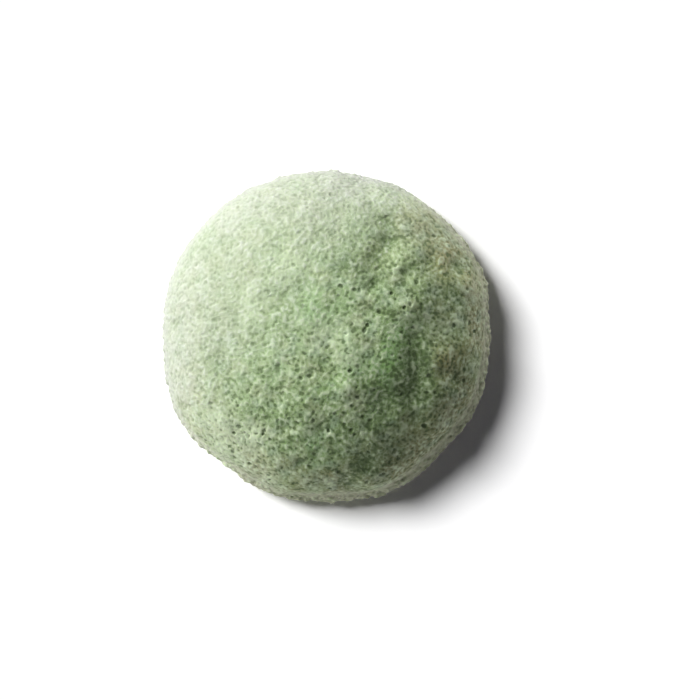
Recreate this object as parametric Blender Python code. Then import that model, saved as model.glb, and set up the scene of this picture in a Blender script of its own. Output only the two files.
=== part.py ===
"""A half-ball exfoliating sponge, moulded in one piece from open-cell plant foam.

The sponge lies on its flat seat with its crown up. The origin is the middle of the seat's footprint and +Z runs
up through the crown. The body grows from a cube with an even grid, which is laid on the outline of a dome with a
rolled foot, then given the lip, the fold and the soft lumps of the real skin. Last, the larger open pores are
cut in: those that stand out over the crown have their own places, and the rest are scattered with a wall of foam
kept between each two.
"""

import math
import random
from typing import NamedTuple

import bmesh
import bpy
from mathutils import Matrix, Vector, noise
from mathutils.bvhtree import BVHTree

# Body, in metres
SPONGE_DIAMETER = 0.080
SPONGE_HEIGHT = 0.040
BELLY_HEIGHT = 0.0080  # the widest line, over the seat
FOOT_TUCK = 0.0070  # from the widest line in to the edge of the seat
DOME_FULLNESS = 2.1  # 2 is a true ellipse, and more is fuller at the shoulder
GRID_CELLS = 20  # faces along each side of the cube that the body grows from
OUTLINE_STEPS = 48

# Rolled lip, where the dome is set back above the foot
LIP_HEIGHT = 0.0105
LIP_BLEND = 0.0042
LIP_STEP = 0.0004  # the least set-back, all round
LIP_SPREAD = 0.0014  # how much more the set-back is at its widest
LIP_BEARING = -58.0  # degrees, where the lip is widest

# Skin: waves of the rim, one long fold and soft lumps
RIM_WAVE = 0.00028
FOLD_DEPTH = 0.0014
FOLD_WIDTH = 0.0060
LUMP_HEIGHT = 0.0012
LUMP_WIDTH = 0.0080
RIPPLE_HEIGHT = 0.0005
RIPPLE_PITCH = 0.0090

# Open pores
PORE_DIAMETER = 0.0025  # of a pore of share 1
PORE_DEPTH = 0.0018
PORE_LIFT = 0.0003  # how far a pore's middle stands over the skin, so that the skin cuts it below its widest
PORE_WALL = 0.0014  # the least foam between two pores
DOME_PORES = 176
SEAT_PORES = 34
SEAT_BAND = 0.0040  # solid foam round the middle of the seat, and along its edge
PORE_SIDES = 7
PORE_RINGS = 4
PORE_TRIES = 6000
PORE_SEED = 11

# Waves of the rim: how many go round, height as a share of RIM_WAVE, and the bearing of a crest in degrees
RIM_WAVE_SHARES = (
    (2, 0.9, 35.0),
    (3, 1.0, 20.0),
    (5, 0.7, 32.0),
    (9, 0.6, 22.0),
)
# The fold's path, as shares of the radius across and up the plan
FOLD_PATH_SHARES = (
    (0.50, 0.56),
    (0.66, 0.38),
    (0.66, 0.18),
    (0.52, 0.00),
    (0.49, -0.20),
    (0.46, -0.40),
    (0.36, -0.60),
    (0.14, -0.74),
    (-0.10, -0.74),
)
# Lumps: place in plan as shares of the radius, width as a share of LUMP_WIDTH, and height of LUMP_HEIGHT
LUMP_SHARES = (
    (0.41, 0.48, 0.8, 0.6),
    (0.30, 0.38, 1.0, -0.7),
    (0.06, -0.31, 1.2, 0.6),
    (0.12, -0.09, 1.0, 0.5),
    (0.61, -0.22, 0.9, 0.9),
    (0.77, 0.15, 0.9, 0.9),
    (0.28, -0.86, 1.0, 0.8),
    (-0.16, 0.00, 1.1, -0.6),
    (-0.06, 0.35, 1.1, -0.5),
    (-0.26, -0.51, 1.0, -0.6),
    (-0.52, 0.30, 1.5, 0.4),
    (-0.48, -0.22, 1.3, 0.5),
    (-0.12, 0.66, 1.4, 0.5),
    (-0.80, 0.05, 1.2, -0.5),
    (0.20, 0.90, 1.2, -0.5),
)
# Pores that stand out: place in plan as shares of the radius, and width as a share of PORE_DIAMETER
PORE_SHARES = (
    (0.03, 0.82, 1.1),
    (0.35, 0.69, 0.9),
    (-0.32, 0.25, 1.1),
    (0.09, 0.28, 1.2),
    (0.24, 0.06, 1.1),
    (0.45, 0.16, 1.1),
    (0.38, 0.24, 1.0),
    (0.74, 0.06, 1.1),
    (0.87, 0.03, 1.0),
    (0.14, -0.20, 1.0),
    (-0.53, -0.56, 1.1),
    (-0.36, -0.56, 1.0),
    (0.02, -0.54, 1.0),
    (0.57, -0.52, 1.3),
)
PORE_SHARE_RANGE = (0.65, 1.25)  # widths of the scattered pores, as shares of PORE_DIAMETER
SQUEEZE_SHARE_RANGE = (0.68, 1.0)  # the narrow width of a pore, as a share of its wide one

SPONGE_GREEN = (0.40, 0.51, 0.31, 1.0)
SPONGE_ROUGHNESS = 0.95

RADIUS = SPONGE_DIAMETER / 2
SEAT_RADIUS = RADIUS - FOOT_TUCK


class Pore(NamedTuple):
    """An open pore: where it opens, which way it faces, its width, its narrow share and its turn in radians."""

    place: Vector
    outward: Vector
    diameter: float
    squeeze: float
    turn: float


def clear_scene():
    """Remove whatever the scene holds."""
    for obj in list(bpy.data.objects):
        bpy.data.objects.remove(obj, do_unlink=True)


def smooth_step(value):
    """Rise smoothly from 0 to 1 as the value does, and stay level on both sides."""
    value = min(max(value, 0.0), 1.0)
    return value * value * (3 - 2 * value)


def bell(distance, width):
    """Fall from 1 at no distance to nearly 0 at one width."""
    return math.exp(-4 * (distance / width) ** 2)


def body_outline():
    """Give the outline from the crown, over the belly and the foot, to the middle of the seat."""
    power = 2 / DOME_FULLNESS
    rise = SPONGE_HEIGHT - BELLY_HEIGHT
    outline = []
    for step in range(OUTLINE_STEPS + 1):
        angle = math.pi / 2 * step / OUTLINE_STEPS
        across = RADIUS * math.sin(angle) ** power
        up = BELLY_HEIGHT + rise * max(math.cos(angle), 0.0) ** power
        outline.append(Vector((across, up)))
    for step in range(1, OUTLINE_STEPS + 1):
        angle = math.pi / 2 * step / OUTLINE_STEPS
        across = SEAT_RADIUS + FOOT_TUCK * math.cos(angle)
        outline.append(Vector((across, BELLY_HEIGHT * (1 - math.sin(angle)))))
    outline.append(Vector((0.0, 0.0)))
    return outline


def lengths_along(outline):
    """Give the length of the outline up to each of its points."""
    lengths = [0.0]
    for start, end in zip(outline, outline[1:]):
        lengths.append(lengths[-1] + (end - start).length)
    return lengths


def on_outline(outline, lengths, share):
    """Give the point at this share of the outline's length, and the outward direction there."""
    wanted = share * lengths[-1]
    index = 1
    while index < len(lengths) - 1 and lengths[index] < wanted:
        index += 1
    start, end = outline[index - 1], outline[index]
    run = end - start
    part = (wanted - lengths[index - 1]) / run.length
    return start + run * part, Vector((-run.y, run.x)).normalized()


def rim_wave(bearing):
    """Give how far the rim stands out of round at a bearing in radians."""
    return RIM_WAVE * sum(
        height * math.cos(count * (bearing - math.radians(crest)))
        for count, height, crest in RIM_WAVE_SHARES
    )


def lip_step(bearing, height):
    """Give how far the dome is set back above the rolled lip."""
    facing = (1 + math.cos(bearing - math.radians(LIP_BEARING))) / 2
    depth = LIP_STEP + LIP_SPREAD * facing * facing
    over_lip = smooth_step((height - LIP_HEIGHT) / LIP_BLEND + 1 / 2)
    return depth * over_lip * (1 - smooth_step((height - LIP_HEIGHT) / (SPONGE_HEIGHT - LIP_HEIGHT)))


def distance_to_path(spot, path):
    """Give the least distance from a spot to a path of straight runs."""
    least = math.inf
    for start, end in zip(path, path[1:]):
        run = end - start
        part = min(max((spot - start).dot(run) / run.length_squared, 0.0), 1.0)
        least = min(least, (spot - start - run * part).length)
    return least


def skin_relief(point, fold):
    """Give how far the skin stands off the plain body over a point of it: out is positive."""
    spot = point.xy
    relief = -FOLD_DEPTH * bell(distance_to_path(spot, fold), FOLD_WIDTH)
    for across, up, width, height in LUMP_SHARES:
        middle = Vector((across * RADIUS, up * RADIUS))
        relief += height * LUMP_HEIGHT * bell((spot - middle).length, width * LUMP_WIDTH)
    return relief + RIPPLE_HEIGHT * noise.noise(point / RIPPLE_PITCH)


def place_on_body(direction, outline, lengths, fold):
    """Lay one corner of the round grid on the finished skin."""
    share = math.acos(min(max(direction.z, -1.0), 1.0)) / math.pi
    bearing = math.atan2(direction.y, direction.x)
    plain, outward = on_outline(outline, lengths, share)
    around = Vector((math.cos(bearing), math.sin(bearing)))
    point = Vector((plain.x * around.x, plain.x * around.y, plain.y))
    off_seat = smooth_step(plain.y / BELLY_HEIGHT)
    raised = off_seat * skin_relief(point, fold)
    spread = plain.x / RADIUS * rim_wave(bearing) - off_seat * lip_step(bearing, plain.y)
    across = plain.x + spread + raised * outward.x
    return Vector((across * around.x, across * around.y, plain.y + raised * outward.y))


def body_mesh():
    """Grow the sponge's body from a cube with an even grid, and centre it over the origin."""
    outline = body_outline()
    lengths = lengths_along(outline)
    fold = [Vector((across * RADIUS, up * RADIUS)) for across, up in FOLD_PATH_SHARES]
    mesh = bmesh.new()
    bmesh.ops.create_cube(mesh, size=1)
    bmesh.ops.subdivide_edges(mesh, edges=mesh.edges[:], cuts=GRID_CELLS - 1, use_grid_fill=True)
    for vertex in mesh.verts:
        spread = Vector(math.tan(side * math.pi / 2) for side in vertex.co)
        vertex.co = place_on_body(spread.normalized(), outline, lengths, fold)
    for axis in range(2):
        sides = [vertex.co[axis] for vertex in mesh.verts]
        middle = (min(sides) + max(sides)) / 2
        for vertex in mesh.verts:
            vertex.co[axis] -= middle
    bmesh.ops.recalc_face_normals(mesh, faces=mesh.faces[:])
    return mesh


def random_direction(dice):
    """Give a direction that is as likely to point anywhere over the seat's level as anywhere else."""
    height = dice.random()
    bearing = 2 * math.pi * dice.random()
    flat = math.sqrt(1 - height * height)
    return Vector((flat * math.cos(bearing), flat * math.sin(bearing), height))


def skin_at_plan(skin, across, up):
    """Give the place and outward direction of the skin straight over a spot in plan."""
    over = Vector((across, up, SPONGE_HEIGHT * 2))
    place, outward, _, _ = skin.ray_cast(over, Vector((0, 0, -1)))
    return place, outward


def has_room(pore, pores):
    """Say whether a pore would leave a full wall of foam to each one before it."""
    return all(
        (pore.place - other.place).length >= (pore.diameter + other.diameter) / 2 + PORE_WALL
        for other in pores
    )


def pore_at(place, outward, diameter, dice):
    """Describe a pore at a place on the skin, squeezed and turned by chance."""
    return Pore(place, outward, diameter, dice.uniform(*SQUEEZE_SHARE_RANGE), math.pi * dice.random())


def dome_pores(skin, dice):
    """Choose the dome's pores: those with places of their own, then scattered ones where there is room."""
    pores = []
    for across, up, width in PORE_SHARES:
        place, outward = skin_at_plan(skin, across * RADIUS, up * RADIUS)
        pore = pore_at(place, outward, width * PORE_DIAMETER, dice)
        if has_room(pore, pores):
            pores.append(pore)
    start = Vector((0, 0, BELLY_HEIGHT))
    for _ in range(PORE_TRIES):
        if len(pores) >= DOME_PORES:
            break
        place, outward, _, _ = skin.ray_cast(start, random_direction(dice))
        pore = pore_at(place, outward, PORE_DIAMETER * dice.uniform(*PORE_SHARE_RANGE), dice)
        if has_room(pore, pores):
            pores.append(pore)
    return pores


def seat_pores(dice):
    """Choose the pores of the flat seat, clear of its middle and of its edge."""
    pores = []
    for _ in range(PORE_TRIES):
        if len(pores) >= SEAT_PORES:
            break
        diameter = PORE_DIAMETER * dice.uniform(*PORE_SHARE_RANGE)
        inner = SEAT_BAND + diameter / 2
        outer = SEAT_RADIUS - inner
        reach = math.sqrt(dice.uniform(inner * inner, outer * outer))
        bearing = 2 * math.pi * dice.random()
        place = Vector((reach * math.cos(bearing), reach * math.sin(bearing), 0))
        pore = pore_at(place, Vector((0, 0, -1)), diameter, dice)
        if has_room(pore, pores):
            pores.append(pore)
    return pores


def pore_cutter(pores):
    """Make one helper object with a rounded cup for each pore."""
    mesh = bmesh.new()
    for pore in pores:
        middle = Matrix.Translation(pore.place + pore.outward * PORE_LIFT)
        facing = pore.outward.to_track_quat("Z", "Y").to_matrix().to_4x4()
        turned = facing @ Matrix.Rotation(pore.turn, 4, "Z")
        wide = pore.diameter / 2
        size = Matrix.Diagonal((wide, wide * pore.squeeze, PORE_DEPTH + PORE_LIFT, 1))
        bmesh.ops.create_uvsphere(
            mesh, u_segments=PORE_SIDES, v_segments=PORE_RINGS, radius=1, matrix=middle @ turned @ size
        )
    bmesh.ops.recalc_face_normals(mesh, faces=mesh.faces[:])
    cutter = object_of("pore_cutter", mesh)
    cutter.hide_render = True
    cutter.display_type = "WIRE"
    return cutter


def object_of(name, mesh):
    """Turn a bmesh into an object in the scene."""
    data = bpy.data.meshes.new(name)
    mesh.to_mesh(data)
    mesh.free()
    data.shade_smooth()
    obj = bpy.data.objects.new(name, data)
    bpy.context.scene.collection.objects.link(obj)
    return obj


def foam_material():
    """Make the pale green of the dyed plant foam."""
    material = bpy.data.materials.new("sponge_foam")
    material.use_nodes = True
    surface = material.node_tree.nodes["Principled BSDF"]
    surface.inputs["Base Color"].default_value = SPONGE_GREEN
    surface.inputs["Roughness"].default_value = SPONGE_ROUGHNESS
    surface.inputs["Metallic"].default_value = 0.0
    material.diffuse_color = SPONGE_GREEN
    return material


def make_sponge():
    """Model the sponge: its body, with the open pores cut in."""
    dice = random.Random(PORE_SEED)
    mesh = body_mesh()
    skin = BVHTree.FromBMesh(mesh)
    cutter = pore_cutter(dome_pores(skin, dice) + seat_pores(dice))
    sponge = object_of("sponge_body", mesh)
    sponge.data.materials.append(foam_material())
    cut = sponge.modifiers.new("open_pores", "BOOLEAN")
    cut.operation = "DIFFERENCE"
    cut.solver = "EXACT"
    cut.object = cutter
    return sponge


def main():
    """Model the sponge in an empty scene."""
    clear_scene()
    make_sponge()


main()
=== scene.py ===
"""The looks of the half-ball exfoliating sponge: its open-pored foam, its studio and its camera."""

import logging
import math
from collections.abc import Iterator
from dataclasses import dataclass
from enum import Enum

import bpy
import numpy as np
from mathutils import Euler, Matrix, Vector


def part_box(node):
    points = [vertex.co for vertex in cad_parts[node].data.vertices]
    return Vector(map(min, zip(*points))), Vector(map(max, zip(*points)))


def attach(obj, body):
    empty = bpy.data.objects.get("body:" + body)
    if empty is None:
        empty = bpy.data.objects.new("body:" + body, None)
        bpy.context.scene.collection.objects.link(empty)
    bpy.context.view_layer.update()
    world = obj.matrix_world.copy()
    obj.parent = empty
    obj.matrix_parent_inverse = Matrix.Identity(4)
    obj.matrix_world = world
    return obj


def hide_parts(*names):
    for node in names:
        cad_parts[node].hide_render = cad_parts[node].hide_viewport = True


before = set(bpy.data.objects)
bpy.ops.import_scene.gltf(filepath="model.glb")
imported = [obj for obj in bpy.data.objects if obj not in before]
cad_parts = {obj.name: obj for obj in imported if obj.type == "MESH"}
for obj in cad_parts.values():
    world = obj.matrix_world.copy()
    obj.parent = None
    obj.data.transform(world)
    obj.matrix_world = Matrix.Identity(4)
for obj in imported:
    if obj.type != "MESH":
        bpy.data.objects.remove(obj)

logger = logging.getLogger("sponge")

Array = np.ndarray
Socket = bpy.types.NodeSocket
Colour = tuple[float, float, float]
Range = tuple[float, float]
Rows = tuple[tuple[float, ...], ...]

CAD_NODE = "sponge_body"
BODY = "root"
BAKE_MAP = "OFBake"
# Noise repeats after this many cells each way, and a place's cell has its number from these strides.
NOISE_SIDE = 61
NOISE_STRIDES = (NOISE_SIDE**2, NOISE_SIDE, 1)
NOISE_GAIN = 1.5
# The cells lean, so that none of their faces lies along the crown or the seat.
NOISE_LEAN = np.array(Euler((0.7, 0.5, 0.3)).to_matrix())
# A bell falls to this power of e at one width.
BELL_POWER = -4.0
# The foam's walls stand up, so its texture is drawn out upwards: read at this share of a point's height.
DRAWN_SHARE = 0.55
# A Mix node has several sockets of one name, so those for colours are taken by their number.
MIX_FIRST, MIX_SECOND, MIX_RESULT = 6, 7, 2
# The heights that the bump reads are in metres.
BUMP_DISTANCE = 1.0
WHITE = (1.0, 1.0, 1.0)
# The paler green of the foam's walls, partly painted light, and the darker green of its gaps, painted
# shade
LIT_WALL_GREEN = (0.730, 0.860, 0.580)
SHADED_GAP_GREEN = (0.095, 0.150, 0.050)

# Waves of the rim: how many go round, share of the height, and bearing of a crest in degrees
RIM_WAVES = (
    (2, 0.6, 61.0),
    (3, 0.3, 22.0),
    (4, 0.8, 33.0),
    (5, 0.3, 68.0),
    (6, 0.7, 27.0),
    (8, 1.0, 26.0),
    (9, 0.6, 15.0),
)
# Each row below starts with a place in plan, across and up, as shares of the sponge's radius.
# Broad lumps: width and height
LUMPS = (
    (0.48, 0.44, 0.8, 0.6),
    (0.11, -0.30, 0.7, 0.5),
    (0.12, -0.09, 1.0, 0.4),
    (0.38, -0.04, 1.0, 0.5),
    (0.48, 0.17, 0.9, 0.7),
    (0.39, -0.24, 0.8, 0.2),
    (0.66, -0.12, 0.8, 0.7),
    (0.67, -0.32, 0.8, 0.7),
    (0.63, -0.54, 0.9, 1.1),
    (0.80, 0.28, 0.9, 0.6),
    (0.55, 0.27, 0.8, 0.4),
    (0.82, -0.05, 1.2, 1.1),
    (0.28, -0.86, 1.0, 0.8),
    (0.06, -0.03, 1.3, -0.5),
    (0.06, 0.42, 1.4, 0.5),
    (-0.12, 0.66, 1.4, 0.3),
    (-0.80, 0.05, 1.2, -0.3),
    (0.20, 0.90, 1.2, -0.5),
)
# Small dents: width and depth
DENTS = (
    (0.51, -0.02, 1.1, 1.0),
    (0.52, -0.12, 1.5, 1.6),
    (0.53, -0.24, 1.4, 1.8),
    (0.52, -0.34, 1.5, 1.7),
    (0.76, -0.27, 1.2, 0.9),
    (0.34, -0.38, 1.4, 1.3),
    (0.29, 0.43, 1.5, 1.1),
    (0.37, 0.54, 1.1, 1.0),
    (0.38, 0.66, 1.0, 0.8),
    (0.27, 0.28, 0.9, 0.9),
    (0.47, 0.35, 0.8, 0.8),
    (0.60, 0.43, 1.0, 0.8),
    (0.76, 0.40, 1.0, 0.9),
    (0.74, 0.24, 1.0, 0.5),
    (0.25, -0.74, 1.5, 1.3),
    (0.45, -0.70, 1.0, 0.9),
    (0.54, -0.50, 1.0, 1.0),
    (0.14, -0.87, 1.0, 0.8),
    (-0.03, -0.54, 1.0, 0.4),
    (-0.23, -0.52, 0.8, 0.6),
    (-0.14, -0.76, 0.8, 0.5),
    (-0.04, -0.70, 0.8, 0.5),
    (0.28, -0.06, 0.8, 0.5),
)
# Single pores: width
SINGLE_PORES = (
    (0.03, 0.82, 1.0),
    (0.35, 0.69, 0.8),
    (-0.32, 0.25, 0.9),
    (0.09, 0.28, 1.1),
    (0.24, 0.06, 0.9),
    (0.45, 0.16, 0.9),
    (0.38, 0.24, 0.9),
    (0.74, 0.06, 1.0),
    (0.87, 0.03, 0.9),
    (0.14, -0.20, 0.9),
    (-0.53, -0.56, 0.9),
    (-0.36, -0.56, 0.8),
    (0.02, -0.54, 0.8),
    (0.57, -0.52, 1.3),
)
# Patches of painted light, paler over 0, and of painted shade, darker under it, laid in the foam's
# colour: width and strength
PAINTED_LIGHT_AND_SHADE = (
    (0.14, -0.14, 1.0, 0.60),
    (0.14, 0.05, 0.8, 0.25),
    (-0.02, 0.05, 1.0, 0.45),
    (-0.23, 0.41, 1.3, 0.50),
    (-0.41, 0.20, 1.1, 0.45),
    (-0.41, 0.04, 0.9, 0.30),
    (-0.59, -0.14, 1.2, -0.30),
    (-0.41, -0.14, 0.9, 0.20),
    (0.36, -0.32, 1.4, -0.55),
    (0.50, -0.18, 1.0, -0.45),
    (0.50, 0.05, 0.9, 0.35),
    (0.70, 0.05, 0.9, 0.30),
    (0.86, -0.14, 1.0, -0.25),
    (0.70, -0.32, 1.1, -0.20),
    (0.68, -0.50, 0.8, 0.20),
    (0.32, -0.68, 1.1, -0.55),
    (0.32, -0.86, 0.8, 0.30),
    (0.14, -0.84, 1.0, -0.55),
    (0.14, -0.36, 0.9, 0.35),
    (0.14, -0.50, 0.9, -0.35),
    (0.50, -0.50, 0.8, 0.30),
    (-0.05, -0.50, 1.0, 0.35),
    (-0.59, -0.68, 1.5, 0.55),
    (-0.62, -0.48, 1.2, 0.45),
    (-0.40, -0.57, 1.1, 0.50),
    (-0.77, -0.45, 0.9, 0.30),
    (-0.33, -0.82, 1.1, 0.45),
    (-0.05, -0.86, 1.0, 0.35),
    (0.14, 0.41, 1.0, -0.40),
    (0.36, 0.28, 1.1, -0.30),
    (0.50, 0.59, 1.0, -0.30),
    (0.42, 0.49, 0.7, -0.25),
    (0.68, 0.23, 1.0, -0.20),
    (0.86, 0.27, 1.0, 0.50),
    (0.68, 0.41, 0.8, -0.25),
    (0.50, 0.80, 1.0, 0.60),
    (0.32, 0.80, 0.9, 0.30),
)
# Patches that are browner over 0 and greener under it: width and strength
WARMTHS = (
    (0.68, 0.41, 1.2, 0.50),
    (0.86, 0.30, 1.0, 0.40),
    (0.70, -0.14, 1.2, 0.50),
    (0.86, -0.05, 1.0, 0.30),
    (0.50, -0.50, 0.9, 0.30),
    (0.30, 0.45, 1.2, 0.30),
    (0.50, 0.75, 1.0, 0.25),
    (-0.05, -0.32, 1.2, -0.25),
    (0.14, -0.20, 1.2, -0.25),
    (0.36, -0.14, 1.2, -0.45),
    (0.45, 0.02, 1.0, -0.40),
    (-0.05, 0.15, 1.2, -0.35),
    (-0.05, -0.68, 1.1, -0.40),
    (-0.23, -0.85, 1.1, -0.30),
    (-0.23, -0.60, 0.9, -0.25),
    (0.32, -0.34, 1.0, -0.30),
)


class SkinValue(Enum):
    """What the mesh keeps at each point for its material, under these attribute names."""

    PORE_DEPTH = "pore_depth"
    FOAM_LEVEL = "foam_level"
    SKIN_RISE = "skin_rise"
    OPENNESS_AND_SHADE = "openness_and_shade"
    PAINTED_LIGHT_SHADE = "painted_light_shade"
    WARMTH = "warmth"


def smooth_step(value: Array) -> Array:
    """Rise smoothly from 0 to 1 as the value does, and stay level on both sides."""
    value = np.clip(value, 0.0, 1.0)
    return value * value * (3 - 2 * value)


def bell(distance: Array, width: float) -> Array:
    """Fall from 1 at no distance to nearly 0 at one width."""
    return np.exp(BELL_POWER * (distance / width) ** 2)


def evened(values: Array) -> Array:
    """Shift and scale values to a mean of 0 and a deviation of 1."""
    return (values - values.mean()) / values.std()


def soft_noise(points: Array, pitch: float, seed: int) -> Array:
    """Give smooth noise, mostly between -1 and 1, that changes over about one pitch.

    Args:
        points: Places, one a row.
        pitch: Size of the noise's cells, in the points' unit.
        seed: Seed of the cells' slopes.

    Returns:
        One value for each point.
    """
    slopes = np.random.default_rng(seed).normal(size=(NOISE_SIDE**3, 3))
    slopes /= np.linalg.norm(slopes, axis=1, keepdims=True)
    scaled = points @ NOISE_LEAN / pitch
    cell = np.floor(scaled).astype(int)
    part = scaled - cell
    ease = smooth_step(part)
    total = np.zeros(len(points))
    for corner in np.ndindex(2, 2, 2):
        weight = np.prod(np.where(corner, ease, 1 - ease), axis=1)
        slope = slopes[(cell + corner) % NOISE_SIDE @ NOISE_STRIDES]
        total += weight * ((part - corner) * slope).sum(axis=1)
    return NOISE_GAIN * total


def cells_round(places: Array) -> Iterator[tuple[Array, Array]]:
    """Go through the cells round each place, and give each cell and its number."""
    home = np.floor(places).astype(int)
    for step in np.ndindex(3, 3, 3):
        cell = home + np.array(step) - 1
        yield cell, cell % NOISE_SIDE @ NOISE_STRIDES


def nearest_seed(points: Array, pitch: float, seed: int) -> Array:
    """Give how far each point is from the nearest of many strewn seeds.

    Args:
        points: Places, one a row.
        pitch: Size of the cells that hold one seed each, in the points' unit.
        seed: Seed of their places.

    Returns:
        One distance for each point, as a share of the pitch.
    """
    stray = np.random.default_rng(seed).uniform(0, 1, (NOISE_SIDE**3, 3))
    scaled = points @ NOISE_LEAN / pitch
    nearest = np.full(len(points), np.inf)
    for cell, key in cells_round(scaled):
        nearest = np.minimum(nearest, ((scaled - cell - stray[key]) ** 2).sum(axis=1))
    return np.sqrt(nearest)


@dataclass(frozen=True)
class Unevenness:
    """Smooth noise that lifts or shifts the skin, in metres.

    Attributes:
        reach: How far it lifts or shifts the skin.
        pitch: Size of its patches.
        seed: Seed of its patches.
    """

    reach: float
    pitch: float
    seed: int

    def lift(self, points: Array) -> Array:
        """Give how far each point is lifted."""
        return self.reach * soft_noise(points, self.pitch, self.seed)

    def shifted(self, points: Array) -> Array:
        """Shift each point along all three axes."""
        shifts = [soft_noise(points, self.pitch, self.seed + axis) for axis in range(3)]
        return points + self.reach * np.stack(shifts, axis=1)


@dataclass(frozen=True)
class Spots:
    """Soft round spots in plan.

    Attributes:
        rows: Place across and up as shares of the sponge's radius, width and strength of each spot.
        width: Width of a spot of share 1, in metres.
    """

    rows: Rows
    width: float

    def at(self, points: Array, radius: float) -> Array:
        """Add up the spots at each point.

        Args:
            points: Places, one a row.
            radius: Radius of the sponge.

        Returns:
            The strength at each place.
        """
        total = np.zeros(len(points))
        for across, up, wide, strong in self.rows:
            aside = np.linalg.norm(points[:, :2] - radius * np.array([across, up]), axis=1)
            total += strong * bell(aside, wide * self.width)
        return total


@dataclass(frozen=True)
class RimBand:
    """The band round the rim where the foam is roughest, in metres.

    Attributes:
        level: Height over the floor where it is roughest.
        spread: How far over and under that level it evens out.
    """

    level: float = 0.0085
    spread: float = 0.0080

    def at(self, points: Array) -> Array:
        """Give how near each point is to the middle of the band, from 0 to 1."""
        return bell(points[:, 2] - self.level, self.spread)


@dataclass(frozen=True)
class BodyShape:
    """The sponge's plain body with its lip and rim, in metres.

    Attributes:
        diameter: Width of the sponge.
        height: Height of the crown over the seat.
        belly_height: Height of the widest line.
        foot_tuck: From the widest line in to the edge of the seat.
        dome_fullness: Power of the dome's outline, 2 for an ellipse.
        outline_steps: Steps along the dome's outline, and along the foot's.
        lip_height: Height of the crease over the rolled lip.
        lip_blend: Height over which the crease turns.
        lip_step: Least set-back of the dome above the lip.
        lip_spread: How much more the set-back is at its widest.
        lip_bearing: Where the lip is widest, in degrees.
        rim_wave: Height of the rim's waves of share 1.
        rim_waves: The waves of the rim.
    """

    diameter: float
    height: float
    belly_height: float = 0.0080
    foot_tuck: float = 0.0070
    dome_fullness: float = 2.1
    outline_steps: int = 200
    lip_height: float = 0.0105
    lip_blend: float = 0.0052
    lip_step: float = 0.0004
    lip_spread: float = 0.0014
    lip_bearing: float = -58.0
    rim_wave: float = 0.00028
    rim_waves: Rows = RIM_WAVES

    @property
    def radius(self) -> float:
        """Half the width."""
        return self.diameter / 2

    @property
    def seat_radius(self) -> float:
        """Radius of the flat seat."""
        return self.radius - self.foot_tuck

    def outline(self) -> tuple[Array, Array]:
        """Give the outline from the crown to the middle of the seat.

        Returns:
            The points as rows of reach and height, and the outward direction at each.
        """
        power = 2 / self.dome_fullness
        angle = np.linspace(0, math.pi / 2, self.outline_steps + 1)
        fall = np.clip(np.cos(angle), 0, 1)
        rise = self.height - self.belly_height
        dome = (self.radius * np.sin(angle) ** power, self.belly_height + rise * fall**power)
        foot = (self.seat_radius + self.foot_tuck * fall, self.belly_height * (1 - np.sin(angle)))
        seat = np.linspace((self.seat_radius, 0), (0, 0), self.outline_steps + 1)
        points = np.concatenate([np.stack(dome, axis=1), np.stack(foot, axis=1)[1:], seat[1:]])
        run = np.gradient(points, axis=0)
        outward = np.stack([-run[:, 1], run[:, 0]], axis=1)
        return points, outward / np.linalg.norm(outward, axis=1, keepdims=True)

    def rim(self, bearing: Array) -> Array:
        """Give how far the rim stands out of round at each bearing."""
        return self.rim_wave * sum(
            share * np.cos(count * (bearing - math.radians(crest)))
            for count, share, crest in self.rim_waves
        )

    def set_back(self, bearing: Array, height: Array) -> Array:
        """Give how far the dome is set back above the rolled lip.

        Args:
            bearing: Bearing of each place on the body.
            height: Height of each place.

        Returns:
            How far each is set back.
        """
        facing = (1 + np.cos(bearing - math.radians(self.lip_bearing))) / 2
        over = smooth_step((height - self.lip_height) / self.lip_blend + 1 / 2)
        fade = 1 - smooth_step((height - self.lip_height) / (self.height - self.lip_height))
        return (self.lip_step + self.lip_spread * facing**2) * over * fade


@dataclass(frozen=True)
class SkinRelief:
    """The lumps, the dents and the finer unevenness of the skin, in metres.

    Attributes:
        lump_height: Height of a lump of share 1.
        lumps: The broad lumps.
        dent_depth: Depth of a dent of share 1.
        dents: The small dents.
        dent_facing: How much the skin faces up, from 0 to 1, where a dent has its whole depth.
        ripple: The broad ripple.
        tufts: The tufts of the rim.
        band: Where the tufts stand out.
        grain_layers: The finer unevenness.
    """

    lump_height: float = 0.0012
    lumps: Spots = Spots(LUMPS, 0.0080)
    dent_depth: float = 0.0007
    dents: Spots = Spots(DENTS, 0.0040)
    dent_facing: float = 0.5
    ripple: Unevenness = Unevenness(0.0002, 0.0100, 2)
    tufts: Unevenness = Unevenness(0.00045, 0.0018, 5)
    band: RimBand = RimBand()
    grain_layers: tuple[Unevenness, ...] = (
        Unevenness(0.00026, 0.0050, 3),
        Unevenness(0.00016, 0.0033, 4),
        Unevenness(0.00004, 0.0020, 6),
    )

    def broad(self, points: Array, radius: float) -> Array:
        """Give how far the lumps, the ripple and the tufts lift the skin at each point."""
        height = self.lump_height * self.lumps.at(points, radius) + self.ripple.lift(points)
        return height + self.tufts.lift(points) * self.band.at(points)

    def close(self, points: Array, upward: Array, radius: float) -> Array:
        """Give how far the dents and the finer unevenness lift the skin.

        Args:
            points: Places on the plain body.
            upward: How much each place faces up, from -1 to 1.
            radius: Radius of the sponge.

        Returns:
            The height at each place, out being positive.
        """
        faced = smooth_step(upward / self.dent_facing)
        height = -self.dent_depth * self.dents.at(points, radius) * faced
        for layer in self.grain_layers:
            height += layer.lift(points)
        return height


class Grain(Enum):
    """How a layer of the foam's texture looks."""

    LUMPS = "soft lumps and hollows"
    PADS = "round pads with creases between them"
    CELLS = "round hollows with walls between them"
    KNOTS = "round knots with gaps between them"


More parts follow.
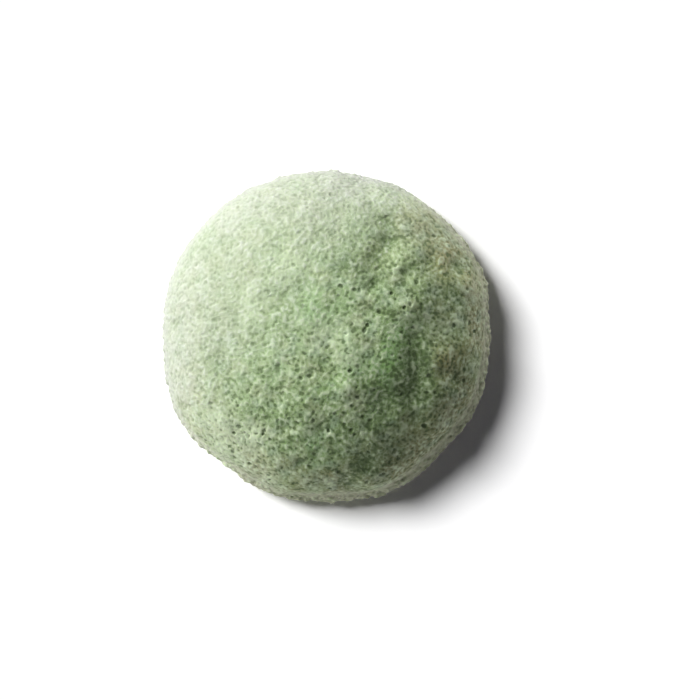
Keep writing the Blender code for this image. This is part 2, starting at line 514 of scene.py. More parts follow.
@dataclass(frozen=True)
class TextureLayer:
    """One size of the foam's texture.

    Attributes:
        grain: How it looks.
        pitch: Distance from one lump, pad, hollow or knot to the next, in metres.
        weight: How strong it is beside the other layers.
        seed: Seed of its places.
    """

    grain: Grain
    pitch: float
    weight: float
    seed: int

    def level(self, points: Array) -> Array:
        """Give how high this layer stands.

        Args:
            points: Places where the texture is read.

        Returns:
            The level at each place, with a mean of 0 and a deviation of the layer's weight.
        """
        if self.grain is Grain.LUMPS:
            level = soft_noise(points, self.pitch, self.seed)
        elif self.grain is Grain.PADS:
            level = np.abs(soft_noise(points, self.pitch, self.seed))
        else:
            level = nearest_seed(points, self.pitch, self.seed)
        side = -1 if self.grain is Grain.KNOTS else 1
        return side * self.weight * evened(level)


@dataclass(frozen=True)
class FoamTexture:
    """The dense texture of thin walls and small hollows that covers the foam, in metres.

    Attributes:
        layers: The sizes of the texture.
        height: Height of the texture at one deviation over its mean, where the skin is closed.
        open_height: That height where the skin is open.
        rim_height: How much higher it is in the rim's band.
        band: The rim's band.
        warp: How the texture wanders.
    """

    layers: tuple[TextureLayer, ...] = (
        TextureLayer(Grain.LUMPS, 0.0026, 0.55, 71),
        TextureLayer(Grain.PADS, 0.0017, 0.6, 60),
        TextureLayer(Grain.CELLS, 0.00095, 1.0, 50),
        TextureLayer(Grain.KNOTS, 0.0011, 0.75, 51),
        TextureLayer(Grain.LUMPS, 0.0007, 0.55, 75),
    )
    height: float = 0.000062
    open_height: float = 0.000026
    rim_height: float = 0.00009
    band: RimBand = RimBand()
    warp: Unevenness = Unevenness(0.00015, 0.0013, 31)

    def levels(self, points: Array) -> Array:
        """Give how high the texture stands at each point, with a mean of 0 and a deviation of 1."""
        places = self.warp.shifted(points)
        return evened(sum(layer.level(places) for layer in self.layers))

    def heights(self, points: Array, levels: Array, openness_and_shade: Array) -> Array:
        """Give how far texture of these levels lifts the skin at each point."""
        height = self.height + (self.open_height - self.height) * openness_and_shade
        return levels * (height + self.rim_height * self.band.at(points))


@dataclass(frozen=True)
class FoamPores:
    """The open pores that stand out from the texture, in metres.

    Attributes:
        pitch: Mean distance between two pores.
        stray_share: How far a pore strays from its place, as a share of the pitch.
        narrow: Radius of the narrowest pore.
        wide: Radius of the widest pore.
        deep: Depth of the widest pore.
        rarity: Power that makes wide pores rarer.
        seed: Seed of the places and sizes.
        reach: How far from its middle a pore ends, in its own radii.
        warp: How the outlines of the pores wander.
        single_radius: Radius of a single pore of share 1.
        single_depth: Depth of a single pore.
        single_from: Least height of a single pore over the floor, as a share of the sponge's radius.
        single_rows: Place across and up and width of each single pore.
    """

    pitch: float = 0.0018
    stray_share: float = 0.5
    narrow: float = 0.00012
    wide: float = 0.00055
    deep: float = 0.00022
    rarity: float = 2.0
    seed: int = 21
    reach: float = 1.5
    warp: Unevenness = Unevenness(0.00030, 0.0009, 41)
    single_radius: float = 0.00045
    single_depth: float = 0.00032
    single_from: float = 0.25
    single_rows: Rows = SINGLE_PORES

    def strewn(self, points: Array) -> Array:
        """Give how deep the strewn pores are.

        Args:
            points: Points of the skin, one a row.

        Returns:
            The depth at each point.
        """
        dice = np.random.default_rng(self.seed)
        stray = self.stray_share * dice.uniform(-1, 1, (NOISE_SIDE**3, 3))
        size = dice.uniform(0, 1, NOISE_SIDE**3) ** self.rarity
        radius = (self.narrow + (self.wide - self.narrow) * size) / self.pitch
        scaled = self.warp.shifted(points) @ NOISE_LEAN / self.pitch
        depth = np.zeros(len(points))
        for cell, key in cells_round(scaled):
            aside = np.linalg.norm(scaled - cell - 1 / 2 - stray[key], axis=1) / radius[key]
            depth = np.maximum(depth, size[key] * smooth_step(self.reach - aside))
        return self.deep * depth

    def single(self, points: Array, radius: float) -> Array:
        """Give how deep the single pores are.

        Args:
            points: Points of the skin, one a row.
            radius: Radius of the sponge.

        Returns:
            The depth at each point.
        """
        plan = self.warp.shifted(points)[:, :2]
        on_dome = points[:, 2] > self.single_from * radius
        depth = np.zeros(len(points))
        for across, up, width in self.single_rows:
            aside = np.linalg.norm(plan - radius * np.array([across, up]), axis=1)
            pore = smooth_step(self.reach - aside / (width * self.single_radius))
            depth = np.maximum(depth, self.single_depth * pore * on_dome)
        return depth


@dataclass(frozen=True)
class OpennessAndShade:
    """How open the foam's skin is, from 0 on the lit side of the sponge to 1 on the shaded side.

    The foam's colours read it too, for painted light on the lit side and painted shade on the shaded
    side.

    Attributes:
        bearing: Side where the skin is open and the painted shade lies, away from the lamps, in degrees.
        start: How far on the other side the skin starts to open, as a share of the radius.
        full: How far on that side the skin is fully open.
        least: Share of the pores' depth where the skin is closed.
        most: That share where the skin is open.
    """

    bearing: float = -46.0
    start: float = 0.95
    full: float = 0.4
    least: float = 0.40
    most: float = 1.05

    def at(self, points: Array, radius: float) -> Array:
        """Give how open the skin is.

        Args:
            points: Points of the skin, one a row.
            radius: Radius of the sponge.

        Returns:
            The openness at each point.
        """
        bearing = math.radians(self.bearing)
        toward = points[:, 0] * math.cos(bearing) + points[:, 1] * math.sin(bearing)
        return smooth_step((toward / radius + self.start) / (self.start + self.full))

    def strength(self, openness_and_shade: Array) -> Array:
        """Give the share of the pores' depth where the skin is as open as that."""
        return self.least + (self.most - self.least) * openness_and_shade


class NodeBoard:
    """Adds nodes to a material or a world and wires them.

    Attributes:
        nodes: The nodes.
        links: The wires between them.
    """

    def __init__(self, owner: bpy.types.Material | bpy.types.World) -> None:
        """Take over the nodes of a new material or world."""
        owner.use_nodes = True
        self.nodes = owner.node_tree.nodes
        self.links = owner.node_tree.links

    def feed(self, socket: Socket, value: Socket | Colour | float) -> None:
        """Wire a socket to another node, or set it.

        Args:
            socket: The socket.
            value: The other node's socket, or a number, a vector or a colour.
        """
        if isinstance(value, bpy.types.NodeSocket):
            self.links.new(value, socket)
        elif socket.type == "RGBA":
            socket.default_value = (*value, 1.0)
        else:
            socket.default_value = value

    def add(
        self, kind: str, inputs: dict[str | int, Socket | Colour | float], **settings: str
    ) -> bpy.types.Node:
        """Add a node.

        Args:
            kind: Its kind, without the word ShaderNode.
            inputs: What its sockets are fed, by their name or number.
            settings: Its other settings.

        Returns:
            The node.
        """
        node = self.nodes.new(f"ShaderNode{kind}")
        for name, setting in settings.items():
            setattr(node, name, setting)
        for name, value in inputs.items():
            self.feed(node.inputs[name], value)
        return node

    def math(self, operation: str, *values: Socket | float) -> Socket:
        """Work out one number from one or two others."""
        return self.add("Math", dict(enumerate(values)), operation=operation).outputs["Value"]

    def ranged(self, value: Socket, low: float, high: float, end: float = 1.0) -> Socket:
        """Rise smoothly from 0 to an end value while a value goes from one bound to the other."""
        inputs = {"Value": value, "From Min": low, "From Max": high, "To Max": end}
        return self.add("MapRange", inputs, interpolation_type="SMOOTHSTEP").outputs["Result"]

    def blend(self, share: Socket, first: Socket | Colour, second: Socket | Colour) -> Socket:
        """Mix two colours, all of the second one where the share is 1."""
        inputs = {"Factor": share, MIX_FIRST: first, MIX_SECOND: second}
        return self.add("Mix", inputs, data_type="RGBA").outputs[MIX_RESULT]


@dataclass(frozen=True)
class Cloud:
    """Soft noise in a material.

    Attributes:
        pitch: Size of its largest patches, in metres.
        seed: Where it is read along its fourth axis.
        detail: How many finer layers it has.
    """

    pitch: float
    seed: float
    detail: float = 2.0


class FoamBoard(NodeBoard):
    """The foam's nodes, which know where they are on the sponge.

    Attributes:
        place: Where a texture is read, which draws it out upwards.
        height: How high a spot is over the floor.
        openness_and_shade: How open the skin is, which also places the painted light and shade.
    """

    def __init__(self, material: bpy.types.Material) -> None:
        """Take over the foam's new material."""
        super().__init__(material)
        spot = self.add("TexCoord", {}).outputs["Object"]
        drawn = {0: spot, 1: (1, 1, DRAWN_SHARE)}
        self.place = self.add("VectorMath", drawn, operation="MULTIPLY").outputs["Vector"]
        self.height = self.add("SeparateXYZ", {"Vector": spot}).outputs["Z"]
        self.openness_and_shade = self.read(SkinValue.OPENNESS_AND_SHADE)

    def read(self, value: SkinValue) -> Socket:
        """Read what the mesh keeps at each point."""
        return self.add("Attribute", {}, attribute_name=value.value).outputs["Fac"]

    def cloud(self, cloud: Cloud, place: Socket | None = None) -> bpy.types.Node:
        """Add soft noise, read at a place of its own if it has one."""
        inputs = {"W": cloud.seed, "Scale": 1 / cloud.pitch, "Detail": cloud.detail}
        inputs["Vector"] = place or self.place
        return self.add("TexNoise", inputs, noise_dimensions="4D")

    def wandered(self, reach: float, cloud: Cloud) -> Socket:
        """Shift where a texture is read by soft noise, by up to a reach."""
        inputs = {0: self.cloud(cloud).outputs["Color"], 1: (2 * reach,) * 3, 2: self.place}
        return self.add("VectorMath", inputs, operation="MULTIPLY_ADD").outputs["Vector"]


@dataclass(frozen=True)
class Shades:
    """A colour of the foam, with painted shade on the shaded side and painted light on the lit side.

    Attributes:
        middle: The colour between the lit side and the shaded side, where the skin is half open.
        deep: The darker colour, painted shade on the shaded side, where the skin is most open.
        pale: The paler colour, painted light on the lit side, where the skin is least open.
    """

    middle: Colour
    deep: Colour
    pale: Colour

    def at(self, board: NodeBoard, opened_and_shaded: Socket, closed_and_lit: Socket) -> Socket:
        """Give the colour at a spot with that much painted shade and that much painted light."""
        return board.blend(closed_and_lit, board.blend(opened_and_shaded, self.middle, self.deep), self.pale)


@dataclass(frozen=True)
class Tint:
    """A colour that shows where a value goes from one bound to another.

    Attributes:
        colour: The colour.
        start: Value where it starts to show.
        full: Value where it shows most.
        share: How much of it shows at most.
    """

    colour: Colour
    start: float
    full: float
    share: float = 1.0

    def cover(self, board: NodeBoard, value: Socket) -> Socket:
        """Give how much of the colour shows where the value is as large as that."""
        return board.ranged(value, self.start, self.full, self.share)


@dataclass(frozen=True)
class Mottle:
    """Soft patches of another tint.

    Attributes:
        tint: The tint, by the level of the noise.
        cloud: The noise.
    """

    tint: Tint
    cloud: Cloud

    def over(self, board: FoamBoard, colour: Socket, strength: Socket) -> Socket:
        """Lay the patches over a colour, as strong as that at each spot."""
        patch = self.tint.cover(board, board.cloud(self.cloud).outputs["Fac"])
        return board.blend(board.math("MULTIPLY", patch, strength), colour, self.tint.colour)


@dataclass(frozen=True)
class Fibres:
    """Fine fibres that run all over the foam, in metres.

    Attributes:
        cloud: The noise that they run through.
        middle: Level of the noise along a fibre's middle.
        edge: How far from that level a fibre ends.
        share: How much of their colour shows at most.
        height: How high they stand.
        wander: How far they wander.
        wander_cloud: The noise of that wandering.
    """

    cloud: Cloud = Cloud(0.0010, 12.0, 1.0)
    middle: float = 0.5
    edge: float = 0.08
    share: float = 0.30
    height: float = 0.00003
    wander: float = 0.00035
    wander_cloud: Cloud = Cloud(0.0012, 5.0, 1.0)

    def cover(self, board: FoamBoard) -> Socket:
        """Give how much each spot is on a fibre, from 0 to 1."""
        place = board.wandered(self.wander, self.wander_cloud)
        level = board.cloud(self.cloud, place).outputs["Fac"]
        aside = board.math("ABSOLUTE", board.math("SUBTRACT", level, self.middle))
        return board.ranged(aside, self.edge, 0.0)


@dataclass(frozen=True)
class FoamFinish:
    """Colours, fine relief and gloss of the foam. Colours are scene-linear, and sizes in metres.

    Attributes:
        crown: Colours of the foam at the crown.
        rim: Colours of the foam further down, paler and browner than at the crown.
        rim_range: Heights at which those start and are full.
        edge: Colours of the pale edge of the rim, lifted further as painted light where the lip's top
            lies in shade.
        edge_range: Heights at which those start and are full.
        edge_share: How much of them shows at most.
        edge_calm: How much weaker the texture's colours are at the edge.
        deep_range: How open the skin is where its darker colours, painted shade on the shaded side,
            start and are full.
        pale_range: How open the skin is where its paler colours, painted light on the lit side, start
            and are full.
        mottles: Patches of other tints.
        paler: Colour of the patches of painted light.
        darker: Colour of the patches of painted shade.
        warm: Colour of the browner patches.
        fresh: Colour of the greener patches.
        hollow_shade: Colour of painted shade in the dents, darker the deeper they are.
        wall: Colour of the texture's thin walls and knots, by its level: partly their own paler colour,
            partly painted light.
        pale_wall: That colour on the lit side, whiter as painted light.
        gap: Colour of the gaps in the texture, by its level: painted shade, darker the lower they lie.
        pore: Colour of the pores, by their depth: painted shade, darker the deeper they are.
        painted_light_levels: How far a patch of painted light shifts the levels of the texture.
        strong_range: How open the skin is where the texture's colours start to grow and are full.
        closed_and_lit_share: How strong they are on the lit side, where they lay less painted shade.
        fibres: The fine fibres.
        grain: The fine grain.
        grain_height: Height of that grain.
        roughness: Roughness of the foam.
        specular: How much the foam mirrors.
        sheen: How much light the foam's fuzz scatters.
        sheen_roughness: Spread of the fuzz's light.
        scatter: How much of the light passes through the foam.
        scatter_reach: How far red, green and blue light passes.
    """

    # Each colour with its painted shade for the shaded side and its painted light for the lit side
    crown: Shades = Shades((0.435, 0.590, 0.305), (0.290, 0.410, 0.172), (0.490, 0.565, 0.385))
    rim: Shades = Shades((0.505, 0.515, 0.285), (0.330, 0.335, 0.160), (0.550, 0.600, 0.465))
    rim_range: Range = (0.0370, 0.0240)
    edge: Shades = Shades((0.690, 0.715, 0.550), (0.570, 0.585, 0.415), (0.585, 0.615, 0.530))
    edge_range: Range = (0.0205, 0.0120)
    edge_share: float = 0.90
    edge_calm: float = 0.45
    deep_range: Range = (0.72, 1.00)
    pale_range: Range = (0.84, 0.28)
    mottles: tuple[Mottle, ...] = (
        Mottle(Tint((0.300, 0.450, 0.190), 0.45, 0.65, 0.7), Cloud(0.0120, 1.0)),
        Mottle(Tint((0.480, 0.520, 0.320), 0.45, 0.70, 0.6), Cloud(0.0050, 2.0)),
        Mottle(Tint((0.400, 0.530, 0.370), 0.45, 0.70, 0.6), Cloud(0.0030, 3.0)),
    )
    paler: Tint = Tint(LIT_WALL_GREEN, 0.0, 1.0)
    darker: Tint = Tint(SHADED_GAP_GREEN, 0.0, -1.0)
    warm: Tint = Tint((0.620, 0.520, 0.240), 0.0, 1.0)
    fresh: Tint = Tint((0.320, 0.660, 0.190), 0.0, -1.0)
    hollow_shade: Tint = Tint((0.200, 0.305, 0.120), -0.0001, 0.0008, 0.70)
    wall: Tint = Tint(LIT_WALL_GREEN, 0.0, 2.3, 0.82)
    pale_wall: Colour = (0.820, 0.860, 0.790)
    gap: Tint = Tint(SHADED_GAP_GREEN, 0.0, -2.0, 0.80)
    pore: Tint = Tint((0.070, 0.112, 0.038), 0.00003, 0.00022, 0.80)
    painted_light_levels: float = 0.9
    strong_range: Range = (0.2, 1.0)
    closed_and_lit_share: float = 0.33
    fibres: Fibres = Fibres()
    grain: Cloud = Cloud(0.0004, 6.0)
    grain_height: float = 0.00002
    roughness: float = 0.85
    specular: float = 0.08
    sheen: float = 0.12
    sheen_roughness: float = 0.6
    scatter: float = 0.35
    scatter_reach: tuple[float, float, float] = (0.0008, 0.0010, 0.0006)

    def dress_gloss(self, surface: bpy.types.Node) -> None:
        """Set what is the same all over the foam.

        Args:
            surface: The material's shader.
        """
        farthest = max(self.scatter_reach)
        gloss = {
            "Roughness": self.roughness,
            "Specular IOR Level": self.specular,
            "Sheen Weight": self.sheen,
            "Sheen Roughness": self.sheen_roughness,
            "Subsurface Weight": self.scatter,
            "Subsurface Scale": farthest,
            "Subsurface Radius": [reach / farthest for reach in self.scatter_reach],
        }
        for name, value in gloss.items():
            surface.inputs[name].default_value = value

    def closed_and_lit(self, board: FoamBoard) -> Socket:
        """Give how far a spot lies toward the lit side, from 0 to 1, for the paler colours of painted
        light.
        """
        return board.ranged(board.openness_and_shade, *self.pale_range)

    def strength(self, board: FoamBoard) -> Socket:
        """Give how strong the texture's colours and painted shade are: less on the lit side and at the
        edge.

        Args:
            board: The material's nodes.

        Returns:
            The strength, up to 1.
        """
        grown = board.ranged(board.openness_and_shade, *self.strong_range, 1.0 - self.closed_and_lit_share)
        strength = board.math("ADD", grown, self.closed_and_lit_share)
        calm = board.ranged(board.height, *self.edge_range, self.edge_calm)
        return board.math("MULTIPLY", strength, board.math("SUBTRACT", 1.0, calm))

    def tinted(self, board: FoamBoard, strength: Socket) -> Socket:
        """Give the foam's colour without its texture and pores: greener at the crown, paler at the rim.

        It has painted light on the lit side, painted shade on the shaded side, patches of painted
        light and shade, and painted shade in the dents.

        Args:
            board: The material's nodes.
            strength: How strong the mottles are at each spot.

        Returns:
            The colour.
        """
        # Painted shade on the shaded side and painted light on the lit side
        opened_and_shaded = board.ranged(board.openness_and_shade, *self.deep_range)
        closed_and_lit = self.closed_and_lit(board)
        crown, rim, edge = (
            shades.at(board, opened_and_shaded, closed_and_lit) for shades in (self.crown, self.rim, self.edge)
        )
        colour = board.blend(board.ranged(board.height, *self.rim_range), crown, rim)
        for mottle in self.mottles:
            colour = mottle.over(board, colour, strength)
        # The rim's pale edge, lighter also as painted light where the lip's top lies in shade
        pale_and_lit_edge = board.ranged(board.height, *self.edge_range, self.edge_share)
        colour = board.blend(pale_and_lit_edge, colour, edge)
        # Patches of painted light and painted shade
        painted_light_shade = board.read(SkinValue.PAINTED_LIGHT_SHADE)
        warmth = board.read(SkinValue.WARMTH)
        # The dents' depth, which sets the painted shade in them
        depth = board.math("MULTIPLY", board.read(SkinValue.SKIN_RISE), -1.0)
        tints = (
            (self.paler, painted_light_shade),
            (self.darker, painted_light_shade),
            (self.warm, warmth),
            (self.fresh, warmth),
            (self.hollow_shade, depth),
        )
        for tint, value in tints:
            colour = board.blend(tint.cover(board, value), colour, tint.colour)
        return colour

    def textured(self, board: FoamBoard, colour: Socket, fibre: Socket, strength: Socket) -> Socket:
        """Lay the colours of the texture, the fibres and the pores over the foam's colour.

        The walls and fibres are paler partly by their own colour and partly as painted light, and the
        gaps and the pores are darker as painted shade.

        Args:
            board: The material's nodes.
            colour: The foam's colour.
            fibre: How much each spot is on a fibre.
            strength: How strong these colours are at each spot.

        Returns:
            The colour with them.
        """
        shift = board.math("MULTIPLY", board.read(SkinValue.PAINTED_LIGHT_SHADE), self.painted_light_levels)
        level = board.math("ADD", board.read(SkinValue.FOAM_LEVEL), shift)
        wall = board.blend(self.closed_and_lit(board), self.wall.colour, self.pale_wall)
        # Painted light on the walls and fibres, and painted shade in the gaps and the pores
        layers = (
            (board.math("MULTIPLY", fibre, self.fibres.share), wall),
            (self.wall.cover(board, level), wall),
            (self.gap.cover(board, level), self.gap.colour),
            (self.pore.cover(board, board.read(SkinValue.PORE_DEPTH)), self.pore.colour),
        )
        for share, tint in layers:
            colour = board.blend(board.math("MULTIPLY", share, strength), colour, tint)
        return colour

    def bumped(self, board: FoamBoard, fibre: Socket) -> Socket:
        """Raise the fibres and the fine grain.

        Args:
            board: The material's nodes.
            fibre: How much each spot is on a fibre.

        Returns:
            The direction that the surface faces.
        """
        grain = board.math("MULTIPLY", board.cloud(self.grain).outputs["Fac"], self.grain_height)
        height = board.math("ADD", grain, board.math("MULTIPLY", fibre, self.fibres.height))
        return board.add("Bump", {"Height": height, "Distance": BUMP_DISTANCE}).outputs["Normal"]

    def material(self) -> bpy.types.Material:
        """Make the foam's material, with its colours, its gloss and its bump.

        Returns:
            The material.
        """
        material = bpy.data.materials.new("green_foam")
        board = FoamBoard(material)
        surface = board.nodes["Principled BSDF"]
        self.dress_gloss(surface)
        fibre = self.fibres.cover(board)
        strength = self.strength(board)
        colour = self.textured(board, self.tinted(board, strength), fibre, strength)
        board.feed(surface.inputs["Base Color"], colour)
        board.feed(surface.inputs["Normal"], self.bumped(board, fibre))
        return material


def read_vectors(points: bpy.types.bpy_prop_collection, name: str) -> Array:
    """Give one vector of each of a mesh's points, one a row."""
    vectors = np.empty(len(points) * 3, np.float32)
    points.foreach_get(name, vectors)
    return vectors.reshape(-1, 3).astype(float)


def write_points(mesh: bpy.types.Mesh, points: Array) -> None:
    """Move a mesh's points."""
    mesh.vertices.foreach_set("co", points.astype(np.float32).ravel())
    mesh.update()


def corner_points(mesh: bpy.types.Mesh) -> Array:
    """Give the number of the point at each corner of each face."""
    corners = np.empty(len(mesh.loops), np.int32)
    mesh.loops.foreach_get("vertex_index", corners)
    return corners


def set_values(mesh: bpy.types.Mesh, kind: SkinValue, values: Array) -> None:
    """Keep a value for each point of a mesh, for its material."""
    attribute = mesh.attributes.new(kind.value, "FLOAT", "POINT")
    attribute.data.foreach_set("value", values.astype(np.float32))


@dataclass
class Sponge:
    """The sponge's foam body.

    Attributes:
        shape: Its plain body.
        relief: Its lumps and dents.
        texture: The texture of its foam.
        pores: The pores that stand out.
        openness_and_shade: Where its skin is open, and where its painted light and shade lie.
        painted_light_and_shade: Its patches of painted light and painted shade.
        warmths: Its browner and greener patches.
        finish: Its colours and gloss.
        cuts: How often the edges of a cube are cut, first and again, to make its grid.
        map_margin: Free space round each disc of its texture map, in metres.
    """

    shape: BodyShape
    relief: SkinRelief = SkinRelief()
    texture: FoamTexture = FoamTexture()
    pores: FoamPores = FoamPores()
    openness_and_shade: OpennessAndShade = OpennessAndShade()
    painted_light_and_shade: Spots = Spots(PAINTED_LIGHT_AND_SHADE, 0.0080)
    warmths: Spots = Spots(WARMTHS, 0.0080)
    finish: FoamFinish = FoamFinish()
    cuts: tuple[int, int] = (15, 17)
    map_margin: float = 0.004

    def grid(self) -> bpy.types.Object:
        """Add a cube at the sponge's size and place, and subdivide it evenly.

        Returns:
            The cube.
        """
        bpy.ops.object.select_all(action="DESELECT")
        middle = (0, 0, self.shape.height / 2)
        bpy.ops.mesh.primitive_cube_add(size=self.shape.height, calc_uvs=False, location=middle)
        piece = bpy.context.active_object
        piece.name = "sponge_skin"
        bpy.ops.object.transform_apply(location=True, rotation=True, scale=True)
        bpy.ops.object.mode_set(mode="EDIT")
        bpy.ops.mesh.select_all(action="SELECT")
        for cuts in self.cuts:
            bpy.ops.mesh.subdivide(number_cuts=cuts)
        bpy.ops.object.mode_set(mode="OBJECT")
        return piece

    def mould(self, mesh: bpy.types.Mesh) -> tuple[Array, Array]:
        """Lay the cube's grid on the sponge's body, with its lip, lumps and dents.

        Args:
            mesh: The cube's mesh.

        Returns:
            The points of the skin, and how far down the outline and at what bearing each one is.
        """
        # The grid's points as directions from the cube's middle, spread evenly
        corners = read_vectors(mesh.vertices, "co")
        corners[:, 2] -= self.shape.height / 2
        direction = np.tan(corners / self.shape.height * math.pi / 2)
        direction /= np.linalg.norm(direction, axis=1, keepdims=True)
        share = np.arccos(np.clip(direction[:, 2], -1, 1)) / math.pi
        bearing = np.arctan2(direction[:, 1], direction[:, 0])
        # The plain body under them
        outline, outward = self.shape.outline()
        lengths = np.concatenate([[0], np.cumsum(np.linalg.norm(np.diff(outline, axis=0), axis=1))])
        along = share * lengths[-1]
        reach, height = (np.interp(along, lengths, outline[:, axis]) for axis in range(2))
        facing, upward = (np.interp(along, lengths, outward[:, axis]) for axis in range(2))
        around = np.stack([np.cos(bearing), np.sin(bearing)], axis=1)
        plain = np.column_stack([reach[:, None] * around, height])
        # Its relief, which leaves the seat flat, and its rim and lip
        off_seat = smooth_step(height / self.shape.belly_height)
        rise = self.relief.close(plain, upward, self.shape.radius)
        raised = off_seat * (rise + self.relief.broad(plain, self.shape.radius))
        spread = reach / self.shape.radius * self.shape.rim(bearing)
        spread -= off_seat * self.shape.set_back(bearing, height)
        reach = reach + spread + raised * facing
        points = np.column_stack([reach[:, None] * around, height + raised * upward])
        # Moved so that its middle is the CAD's
        low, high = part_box(CAD_NODE)
        middle = (np.array(low) + np.array(high)) / 2
        points[:, :2] += (middle - (points.min(axis=0) + points.max(axis=0)) / 2)[:2]
        set_values(mesh, SkinValue.SKIN_RISE, off_seat * rise)
        return points, np.column_stack([along, bearing])

    def lay_out(self, mesh: bpy.types.Mesh, chart: Array) -> None:
        """Lay the skin out on its texture map: the dome as one disc, and the seat as another.

        Args:
            mesh: The skin's mesh.
            chart: How far down the outline and at what bearing each of its points is.
        """
        along, bearing = chart.T
        total = along.max()
        seat_start = total - self.shape.seat_radius
        corners = corner_points(mesh)
        faces = len(mesh.polygons)
        seat_face = along[corners].reshape(faces, 4).max(axis=1) > seat_start
        on_seat = np.repeat(seat_face, 4)
        dome_reach = seat_start + self.map_margin
        seat_reach = self.shape.seat_radius + self.map_margin
        # The discs touch each other on the map's diagonal, and each touches two of its sides.
        scale = 1 / ((dome_reach + seat_reach) * (1 + math.sqrt(1 / 2)))
        reach = np.where(on_seat, total - along[corners], along[corners]) * scale
        turn = bearing[corners]
        middle = np.where(on_seat, 1 - seat_reach * scale, dome_reach * scale)
        side = np.where(on_seat, -1, 1)
        places = np.column_stack([middle + side * reach * np.cos(turn), middle + reach * np.sin(turn)])
        layer = mesh.uv_layers.new(name=BAKE_MAP)
        layer.data.foreach_set("uv", places.astype(np.float32).ravel())

    def build(self) -> bpy.types.Object:
        """Model the sponge's skin and dress it.

        Returns:
            The skin.
        """
        piece = self.grid()
        mesh = piece.data
        points, chart = self.mould(mesh)
        write_points(mesh, points)
        outward = read_vectors(mesh.vertex_normals, "vector")
        radius = self.shape.radius
        openness_and_shade = self.openness_and_shade.at(points, radius)
        drawn = points * (1, 1, DRAWN_SHARE)
        level = self.texture.levels(drawn)
        depth = np.maximum(self.pores.strewn(drawn), self.pores.single(points, radius))
        lift = self.texture.heights(points, level, openness_and_shade)
        lift -= depth * self.openness_and_shade.strength(openness_and_shade)
        skin = points + outward * lift[:, None]
        # Nothing goes under the floor.
        skin[:, 2] = np.maximum(skin[:, 2], 0.0)
        write_points(mesh, skin)
        set_values(mesh, SkinValue.PORE_DEPTH, depth)
        set_values(mesh, SkinValue.FOAM_LEVEL, level)
        set_values(mesh, SkinValue.OPENNESS_AND_SHADE, openness_and_shade)
        # Where its patches of painted light and painted shade lie
        set_values(mesh, SkinValue.PAINTED_LIGHT_SHADE, self.painted_light_and_shade.at(points, radius))
        set_values(mesh, SkinValue.WARMTH, self.warmths.at(points, radius))
        self.lay_out(mesh, chart)
        mesh.materials.append(self.finish.material())
        mesh.shade_smooth()
        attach(piece, BODY)
        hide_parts(CAD_NODE)
        return piece


class Lit(Enum):
    """What a lamp is hung for. The sponge casts its shadow in the light of each."""

    SPONGE = "sponge"
    FLOOR = "floor"


@dataclass(frozen=True)
class Lamp:
    """A soft lamp far away.

    Attributes:
        name: Its name.
        lit: What it lights.
        bearing: Where it stands round the sponge, in degrees from +X.
        height: How high it stands over the floor, in degrees.
        spread: How wide it looks from the sponge, in degrees.
        light: How brightly it lights white that faces it, 1 being plain white.
        tint: Colour of its light.
    """

    name: str
    lit: Lit
    bearing: float
    height: float
    spread: float
    light: float
    tint: Colour = WHITE

    def hang(self, piece: bpy.types.Object) -> None:
        """Hang the lamp.

        Args:
            piece: The only piece that it lights.
        """
        data = bpy.data.lights.new(self.name, "SUN")
        data.energy = math.pi * self.light
        data.color = self.tint
        data.angle = math.radians(self.spread)
        lamp = bpy.data.objects.new(self.name, data)
        bearing, height = math.radians(self.bearing), math.radians(self.height)
        level = math.cos(height)
        toward = Vector((level * math.cos(bearing), level * math.sin(bearing), math.sin(height)))
        lamp.rotation_euler = toward.to_track_quat("Z", "Y").to_euler()
        lamp.location = toward
        bpy.context.scene.collection.objects.link(lamp)
        receivers = bpy.data.collections.new(f"{self.name}_lights")
        receivers.objects.link(piece)
        lamp.light_linking.receiver_collection = receivers


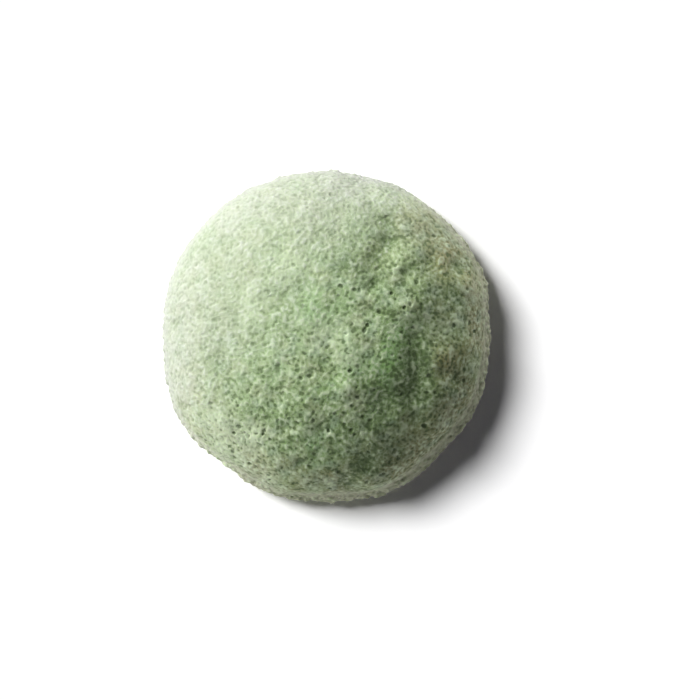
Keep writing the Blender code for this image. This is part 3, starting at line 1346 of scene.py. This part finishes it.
@dataclass(frozen=True)
class Studio:
    """The white floor, the lamps and the camera.

    Attributes:
        image_side: Width and height of the photograph, in pixels.
        sponge_middle: Middle of the sponge in the photograph, across and down.
        sponge_side: Its width there.
        lens: The camera's lens, in millimetres.
        sensor: Width of the camera's sensor, in millimetres.
        near: Nearest distance that the camera shows.
        floor_side: Width of the floor.
        floor_white: How white the floor is to the sponge.
        floor_seen: How white the floor is to the camera. Over 1, it is white also where it is dimly lit.
        lamps: The lamps.
        sky: How brightly the room lights the sponge from all round.
    """

    image_side: float = 700.0
    sponge_middle: Range = (326.7, 336.7)
    sponge_side: float = 331.0
    lens: float = 100.0
    sensor: float = 36.0
    near: float = 0.01
    floor_side: float = 6.0
    floor_white: float = 0.95
    floor_seen: float = 1.34
    lamps: tuple[Lamp, ...] = (
        Lamp("floor_lamp", Lit.FLOOR, 145.5, 55.5, 20.0, 0.91),
        Lamp("floor_fill", Lit.FLOOR, -34.0, 40.0, 60.0, 0.015, (0.35, 0.12, 1.0)),
        Lamp("main_lamp", Lit.SPONGE, 150.0, 29.0, 46.0, 1.01),
        Lamp("side_lamp", Lit.SPONGE, 82.0, 28.0, 36.0, 0.405),
        Lamp("low_lamp", Lit.SPONGE, 216.0, 12.0, 60.0, 0.30),
    )
    sky: float = 0.018

    def floor(self) -> bpy.types.Object:
        """Lay the white floor.

        Returns:
            The floor.
        """
        bpy.ops.object.select_all(action="DESELECT")
        bpy.ops.mesh.primitive_plane_add(size=self.floor_side)
        floor = bpy.context.active_object
        floor.name = "studio_floor"
        material = bpy.data.materials.new("studio_white")
        board = NodeBoard(material)
        board.nodes.remove(board.nodes["Principled BSDF"])
        seen = board.add("LightPath", {}).outputs["Is Camera Ray"]
        white = board.blend(seen, (self.floor_white,) * 3, (self.floor_seen,) * 3)
        matt = board.add("BsdfDiffuse", {"Color": white}).outputs["BSDF"]
        board.feed(board.nodes["Material Output"].inputs["Surface"], matt)
        floor.data.materials.append(material)
        return floor

    def world(self) -> None:
        """Light the room evenly and dimly, and show white beyond the floor."""
        world = bpy.data.worlds.new("studio_sky")
        bpy.context.scene.world = world
        board = NodeBoard(world)
        board.nodes.clear()
        path = board.add("LightPath", {}).outputs
        straight = board.math("MAXIMUM", path["Is Camera Ray"], path["Is Glossy Ray"])
        dim = board.add("Background", {"Color": WHITE, "Strength": self.sky})
        white = board.add("Background", {"Color": WHITE})
        sky = {0: straight, 1: dim.outputs["Background"], 2: white.outputs["Background"]}
        board.add("OutputWorld", {"Surface": board.add("MixShader", sky).outputs["Shader"]})

    def camera(self, shape: BodyShape) -> None:
        """Set the camera straight above, framed as in the photograph.

        Args:
            shape: The sponge's plain body.
        """
        pixel = shape.diameter / self.sponge_side
        across = (self.image_side / 2 - self.sponge_middle[0]) * pixel
        up = (self.sponge_middle[1] - self.image_side / 2) * pixel
        away = self.image_side * pixel * self.lens / self.sensor
        data = bpy.data.cameras.new("camera")
        data.lens = self.lens
        data.sensor_width = self.sensor
        data.clip_start = self.near
        camera = bpy.data.objects.new("camera", data)
        camera.location = (across, up, shape.belly_height + away)
        bpy.context.scene.collection.objects.link(camera)
        bpy.context.scene.camera = camera

    def build(self, shape: BodyShape, sponge: bpy.types.Object) -> None:
        """Set up the studio round the sponge.

        Args:
            shape: The sponge's plain body.
            sponge: The sponge.
        """
        pieces = {Lit.SPONGE: sponge, Lit.FLOOR: self.floor()}
        for lamp in self.lamps:
            lamp.hang(pieces[lamp.lit])
        self.world()
        self.camera(shape)
        bpy.context.scene.view_settings.view_transform = "Standard"


def main() -> None:
    """Build the sponge and the studio, and note their sizes."""
    logging.basicConfig(level=logging.INFO, format="%(message)s")
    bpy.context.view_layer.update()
    low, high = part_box(CAD_NODE)
    shape = BodyShape(diameter=high[0] - low[0], height=high[2] - low[2])
    piece = Sponge(shape).build()
    logger.info("%s: %d points", piece.name, len(piece.data.vertices))
    studio = Studio()
    studio.build(shape, piece)
    logger.info("studio: %d lamps", len(studio.lamps))


if __name__ == "__main__":
    main()
